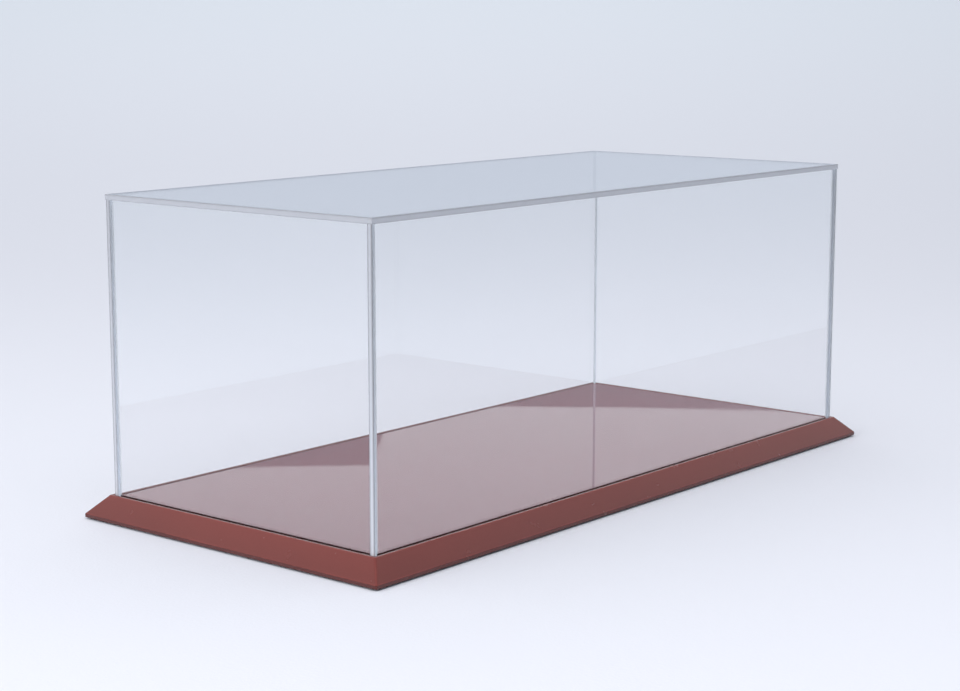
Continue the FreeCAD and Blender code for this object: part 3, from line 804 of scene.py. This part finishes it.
def soft_box(name, size, power, location, aim):
    """A broad lamp, which shows neither in gloss nor through the sheets."""
    lamp = bpy.data.lights.new(name, "AREA")
    lamp.shape = "RECTANGLE"
    lamp.size, lamp.size_y = size
    lamp.energy = power
    box = bpy.data.objects.new(name, lamp)
    bpy.context.collection.objects.link(box)
    box.location = location
    direction = Vector(aim) - Vector(location)
    box.rotation_euler = direction.to_track_quat("-Z", "Y").to_euler()
    box.visible_glossy = False
    box.visible_transmission = False


# ---------------------------------------------------------------- settings

# Keywords that the settings' lengths and colours share.
LENGTH = {"unit": "LENGTH", "subtype": "DISTANCE", "precision": 5, "min": 0.0}
FINE_LENGTH = {**LENGTH, "precision": 6}
COLOUR = {"subtype": "COLOR", "min": 0.0, "max": 1.0}


class CoverSettings(PropertyGroup):
    tint_foot: FloatVectorProperty(
        name="Tint at foot", description="Colour of the clear sheet near the base",
        default=(0.99, 0.996, 1.0), **COLOUR,
    )
    # Painted shade: where the sheet starts to turn greyer, and its colour at the top.
    shade_start: FloatProperty(
        name="Tint starts", description="Height where the sheet begins to look greyer",
        default=0.12, unit="LENGTH", subtype="DISTANCE", min=0.0,
    )
    shade_at_top: FloatVectorProperty(
        name="Tint at top", description="Colour of the clear sheet at the top of the walls",
        default=(0.93, 0.945, 0.955), **COLOUR,
    )
    # Partly the frosted edge's own pale colour, partly painted light carried through the sheet.
    edge: FloatVectorProperty(
        name="Edge", description="Colour that gathers in the sheets' cut edges",
        default=(0.76, 0.78, 0.84), **COLOUR,
    )
    # Painted shade towards the top of the edges.
    edge_falloff: FloatProperty(
        name="Edge falloff", description="Brightness left in the edges at the top of the walls",
        default=0.72, min=0.0, max=1.0,
    )
    # Painted shade towards the top of the joints and beads.
    cement_falloff: FloatProperty(
        name="Cement falloff", description="Brightness left in the joints at the top of the walls",
        default=0.84, min=0.0, max=1.0,
    )
    cement: FloatVectorProperty(
        name="Cement", description="Colour of the cemented joints",
        default=(0.9, 0.93, 0.97), **COLOUR,
    )
    bead_leg: FloatProperty(
        name="Bead", description="How far the cement beads reach from the inner corners",
        default=0.0016, **LENGTH,
    )
    edge_milkiness: FloatProperty(
        name="Edge milkiness", description="How little shows through a cut edge", default=0.85,
        min=0.0, max=1.0,
    )
    cement_milkiness: FloatProperty(
        name="Cement milkiness", description="How little shows through a cemented joint",
        default=0.75, min=0.0, max=1.0,
    )
    arris: FloatProperty(
        name="Arris", description="Width of the bevel along a cut edge", default=0.00045, **LENGTH,
    )
    refraction: FloatProperty(
        name="Refraction", description="Index of refraction of the sheet", default=1.49, min=1.0
    )
    face_roughness: FloatProperty(
        name="Face wear", description="Roughness of the hairlines in the faces", default=0.02,
        min=0.0,
    )
    edge_roughness: FloatProperty(
        name="Edge finish", description="Roughness of the cut edges", default=0.2, min=0.0
    )
    sheet_swell: FloatProperty(
        name="Swell", description="Waviness of the cast faces", default=0.00002, **FINE_LENGTH,
    )


class BaseSettings(PropertyGroup):
    lacquer: FloatVectorProperty(
        name="Lacquer", description="Colour of the rails", default=(0.16, 0.03, 0.024), **COLOUR,
    )
    timber: FloatVectorProperty(
        name="Timber", description="Colour of bare wood", default=(0.58, 0.41, 0.25), **COLOUR,
    )
    satin: FloatProperty(
        name="Satin", description="Roughness of the rails' lacquer", default=0.25, min=0.0, max=1.0
    )
    peel_height: FloatProperty(
        name="Orange peel", description="Height of the sprayed lacquer's texture",
        default=0.00004, **FINE_LENGTH,
    )
    # Wear and painted highlight: how far the lightened strip reaches from an edge.
    wear_and_highlight_width: FloatProperty(
        name="Rubbed width", description="How far wear reaches from an edge",
        default=0.0011, **LENGTH,
    )
    bevel_run: FloatProperty(
        name="Bevel", description="Width of the rails' bevel, seen from above",
        default=0.0163, **LENGTH,
    )
    rim_width: FloatProperty(
        name="Rim", description="Width of the rails' flat rim, outside the groove",
        default=0.0031, **LENGTH,
    )
    # Painted shade: width of the black strip under the base's edge.
    shade_edging: FloatProperty(
        name="Edging", description="Width of the black edging under the base",
        default=0.014, **LENGTH,
    )
    # Painted shade: the near-black of the groove and of the strip under the foot.
    groove: FloatVectorProperty(
        name="Groove", description="Colour of the groove and the edging",
        default=(0.012, 0.009, 0.01), **COLOUR,
    )
    edge_height: FloatProperty(
        name="Upright foot", description="Height of the rails' upright foot",
        default=0.0032, **LENGTH,
    )
    rubber: FloatVectorProperty(
        name="Pads", description="Colour of the rubber pads",
        default=(0.018, 0.017, 0.017), **COLOUR,
    )
    felt: FloatVectorProperty(
        name="Felt", description="Colour of the felt in the groove",
        default=(0.035, 0.014, 0.014), **COLOUR,
    )


class DeckSettings(PropertyGroup):
    deck: FloatVectorProperty(
        name="Deck", description="Colour of the deck's lacquer",
        default=(0.15, 0.03, 0.047), **COLOUR,
    )
    fibreboard: FloatVectorProperty(
        name="Underside", description="Colour of the bare board",
        default=(0.36, 0.24, 0.14), **COLOUR,
    )
    # Painted shade: near-black at the deck's edges.
    deck_edge_shade: FloatVectorProperty(
        name="Sealed edge", description="Colour of the deck's sealed edges",
        default=(0.014, 0.008, 0.009), **COLOUR,
    )
    # How far the painted shade comes in from the deck's edges.
    shaded_edge_width: FloatProperty(
        name="Edge width", description="How far the sealer comes in from the deck's edges",
        default=0.0004, **LENGTH,
    )
    deck_haze: FloatProperty(
        name="Haze", description="Roughness where the gloss is dullest", default=0.025, min=0.0
    )
    deck_ripple: FloatProperty(
        name="Ripple", description="Height of the slow ripple in the lacquer",
        default=0.00001, **FINE_LENGTH,
    )


class ScrewSettings(PropertyGroup):
    plating: FloatVectorProperty(
        name="Plating", description="Colour of the screws' plating",
        default=(0.76, 0.68, 0.5), **COLOUR,
    )
    head_diameter: FloatProperty(
        name="Head", description="Diameter of the countersunk head", default=0.007, **LENGTH,
    )
    shank_diameter: FloatProperty(
        name="Shank", description="Diameter over the thread", default=0.0035, **LENGTH,
    )
    thread_pitch: FloatProperty(
        name="Pitch", description="From one turn of the thread to the next", default=0.0016,
        unit="LENGTH", subtype="DISTANCE", precision=5, min=0.0001,
    )
    thread_depth: FloatProperty(
        name="Thread", description="Depth of the thread", default=0.00055, **LENGTH,
    )
    recess_span: FloatProperty(
        name="Recess", description="Cross recess, tip to tip", default=0.004, **LENGTH,
    )
    recess_slot: FloatProperty(
        name="Slot", description="Width of each slot of the recess", default=0.001, **LENGTH,
    )
    recess_depth: FloatProperty(
        name="Recess depth", description="How far the recess goes in", default=0.0012, **LENGTH,
    )
    screw_sides: IntProperty(name="Sides", description="Facets round a screw", default=24, min=8)
    thread_rows: IntProperty(name="Rows", description="Rows in each turn", default=6, min=3)


class StageSettings(PropertyGroup):
    paper: FloatVectorProperty(
        name="Floor", description="Colour of the floor", default=(0.81, 0.815, 0.875), **COLOUR,
    )
    # Painted light: the lighter colour of the far floor.
    far_paper_light: FloatVectorProperty(
        name="Far floor", description="Colour at the floor's rim",
        default=(0.9, 0.945, 1.0), **COLOUR,
    )
    floor_radius: FloatProperty(
        name="Floor radius", description="Flat part of the floor", default=1.4,
        unit="LENGTH", subtype="DISTANCE", min=0.5,
    )
    sweep: FloatProperty(
        name="Sweep", description="How far the floor goes on while it rises", default=5.0,
        unit="LENGTH", subtype="DISTANCE", min=0.1,
    )
    sweep_rise: FloatProperty(
        name="Rise", description="How high the floor sweeps up", default=0.62,
        unit="LENGTH", subtype="DISTANCE", min=0.0,
    )
    sky_back: FloatVectorProperty(
        name="Sky behind", description="Colour of the sky behind the case",
        default=(0.93, 0.965, 1.0), **COLOUR,
    )
    sky_front: FloatVectorProperty(
        name="Sky in front", description="Colour of the sky in front",
        default=(0.4, 0.42, 0.46), **COLOUR,
    )
    haze: FloatVectorProperty(
        name="Haze", description="Colour just above the floor's edge",
        default=(0.55, 0.6, 0.7), **COLOUR,
    )
    strip: FloatVectorProperty(
        name="Dim strip", description="Colour of the dim strip above the haze",
        default=(0.3, 0.285, 0.31), **COLOUR,
    )
    strip_foot: FloatProperty(
        name="Strip foot", description="Where the dim strip starts, as the sine of its height",
        default=0.12, min=0.0, max=1.0,
    )
    strip_top: FloatProperty(
        name="Strip top", description="Where it ends, as the sine of its height",
        default=0.1965, min=0.0, max=1.0,
    )
    strip_top_left: FloatProperty(
        name="Strip top left", description="The same, to the left of the middle",
        default=0.225, min=0.0, max=1.0,
    )
    glow_top: FloatProperty(
        name="Glow top", description="Top of the bright sky behind, as the sine of its height",
        default=0.34, min=0.0, max=1.0,
    )
    sky_strength: FloatProperty(
        name="Sky strength", description="Strength of the light from all round", default=1.03,
        min=0.0,
    )
    side_power: FloatProperty(
        name="Side", description="Power of the soft box on the left", default=50.0,
        unit="POWER", min=0.0,
    )
    back_power: FloatProperty(
        name="Backdrop", description="Power of the soft box over the far floor", default=27.0,
        unit="POWER", min=0.0,
    )
    key_power: FloatProperty(
        name="Key", description="Power of the soft box above", default=24.0, unit="POWER", min=0.0,
    )
    lens: FloatProperty(
        name="Lens", description="Focal length on a 36 mm sensor", default=74.06, min=10.0,
        unit="CAMERA",
    )
    eye: FloatVectorProperty(
        name="Eye", description="Where the camera stands", subtype="TRANSLATION",
        unit="LENGTH", default=(-1.4829, -1.2072, 0.4509),
    )
    eye_turn: FloatVectorProperty(
        name="Turn", description="Tilt, roll and pan of the camera", subtype="EULER",
        unit="ROTATION", default=(1.40393, 0.0003, -0.87527),
    )


class CaseSettings(PropertyGroup):
    cover: PointerProperty(type=CoverSettings, name="Cover", description="The clear cover")
    base: PointerProperty(type=BaseSettings, name="Base", description="Rails, battens and pads")
    deck: PointerProperty(type=DeckSettings, name="Deck", description="The glossy deck board")
    screws: PointerProperty(type=ScrewSettings, name="Screws", description="The wood screws")
    stage: PointerProperty(type=StageSettings, name="Stage", description="Floor, light, camera")


# ---------------------------------------------------------------- operators


class CASE_OT_stage(Operator):
    """Lay the floor, hang the lights and stand the camera"""

    bl_idname = "case.stage"
    bl_label = "Stage"

    def execute(self, context):
        settings = context.scene.display_case.stage
        floor = studio_floor(settings)
        floor.data.materials.append(studio_paper(settings))

        world = bpy.data.worlds.new("studio air")
        world.use_nodes = True
        context.scene.world = world
        studio_air(Tree(world.node_tree), settings)
        powers = (settings.key_power, settings.side_power, settings.back_power)
        for (name, size, location, aim), power in zip(SOFT_BOXES, powers):
            soft_box(name, size, power, location, aim)

        lens = bpy.data.cameras.new("camera")
        lens.lens = settings.lens
        lens.sensor_width = SENSOR_WIDTH
        lens.clip_start = NEAREST_SEEN
        camera = bpy.data.objects.new("camera", lens)
        context.collection.objects.link(camera)
        camera.location = settings.eye
        camera.rotation_euler = settings.eye_turn
        context.scene.camera = camera

        context.scene.view_settings.view_transform = "Standard"
        for kind, count in BOUNCES.items():
            setattr(context.scene.cycles, kind, count)
        return {"FINISHED"}


class CASE_OT_cover(Operator):
    """Give the five sheets of the cover their clear acrylic"""

    bl_idname = "case.cover"
    bl_label = "Clear cover"

    def execute(self, context):
        settings = context.scene.display_case.cover
        finish(COVER_SHEETS, clear_acrylic(settings))
        beads = bead_rows(settings)
        beads.data.materials.append(cement_bead(settings))
        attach(beads, "cover")
        return {"FINISHED"}


class CASE_OT_rails(Operator):
    """Lacquer the four mitred rails"""

    bl_idname = "case.rails"
    bl_label = "Rails"

    def execute(self, context):
        settings = context.scene.display_case.base
        finish(LONG_RAILS, rail_lacquer(settings, 0))
        finish(END_RAILS, rail_lacquer(settings, 1))
        return {"FINISHED"}


class CASE_OT_deck(Operator):
    """Lacquer the deck board to a mirror gloss"""

    bl_idname = "case.deck"
    bl_label = "Deck board"

    def execute(self, context):
        finish(("deck_board",), deck_lacquer(context.scene.display_case.deck))
        return {"FINISHED"}


class CASE_OT_battens(Operator):
    """Give the battens, dowels and corner keys their timbers"""

    bl_idname = "case.battens"
    bl_label = "Battens and joinery"

    def execute(self, context):
        settings = context.scene.display_case.base
        finish(BATTENS, batten_timber(settings))
        finish(("batten_dowels",), dowel_beech(settings))
        finish(CORNER_KEYS, key_plywood(settings))
        return {"FINISHED"}


class CASE_OT_screws(Operator):
    """Drive a threaded screw into every screw hole"""

    bl_idname = "case.screws"
    bl_label = "Screws"

    def execute(self, context):
        settings = context.scene.display_case.screws
        low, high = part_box("rail_screws")
        screw = finished_screw(settings, high[2] - low[2])
        holder = mesh_object("screws", bpy.data.meshes.new("screws"))
        rows = holder.modifiers.new("rows", "NODES")
        rows.node_group = screw_rows_tree()
        finish_material = plated_steel(settings)
        inputs = {"Screw": screw, "Finish": finish_material, "Ground": low[2], **screw_grids()}
        set_inputs(rows, inputs)
        mesh = evaluated_mesh(holder)
        holder.modifiers.remove(rows)
        holder.data = mesh
        bpy.data.objects.remove(screw)
        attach(holder, "base")
        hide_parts(*SCREW_GROUPS)
        return {"FINISHED"}


class CASE_OT_pads(Operator):
    """Give the pads their rubber and the groove its felt"""

    bl_idname = "case.pads"
    bl_label = "Pads and felt"

    def execute(self, context):
        settings = context.scene.display_case.base
        finish(PADS, pad_rubber(settings))
        finish(SEALS, groove_felt(settings))
        return {"FINISHED"}


OPERATORS = (
    CASE_OT_stage,
    CASE_OT_cover,
    CASE_OT_rails,
    CASE_OT_deck,
    CASE_OT_battens,
    CASE_OT_screws,
    CASE_OT_pads,
)


class CASE_PT_sidebar(Panel):
    """The case's settings, and a button for each operator"""

    bl_label = "Display Case"
    bl_idname = "CASE_PT_sidebar"
    bl_space_type = "VIEW_3D"
    bl_region_type = "UI"
    bl_category = "Display Case"

    def draw(self, context):
        settings = context.scene.display_case
        for part in ("cover", "base", "deck", "screws", "stage"):
            group = getattr(settings, part)
            box = self.layout.box()
            box.label(text=part.title())
            for name in group.bl_rna.properties.keys():
                if name not in ("rna_type", "name"):
                    box.prop(group, name)
        for operator in OPERATORS:
            self.layout.operator(operator.bl_idname)


GROUPS = (CoverSettings, BaseSettings, DeckSettings, ScrewSettings, StageSettings, CaseSettings)
CLASSES = (*GROUPS, *OPERATORS, CASE_PT_sidebar)


def register():
    for item in CLASSES:
        bpy.utils.register_class(item)
    bpy.types.Scene.display_case = PointerProperty(type=CaseSettings)


def unregister():
    del bpy.types.Scene.display_case
    for item in reversed(CLASSES):
        bpy.utils.unregister_class(item)


def main():
    register()
    bpy.ops.case.stage()
    bpy.ops.case.cover()
    bpy.ops.case.rails()
    bpy.ops.case.deck()
    bpy.ops.case.battens()
    bpy.ops.case.screws()
    bpy.ops.case.pads()


if __name__ == "__main__":
    main()
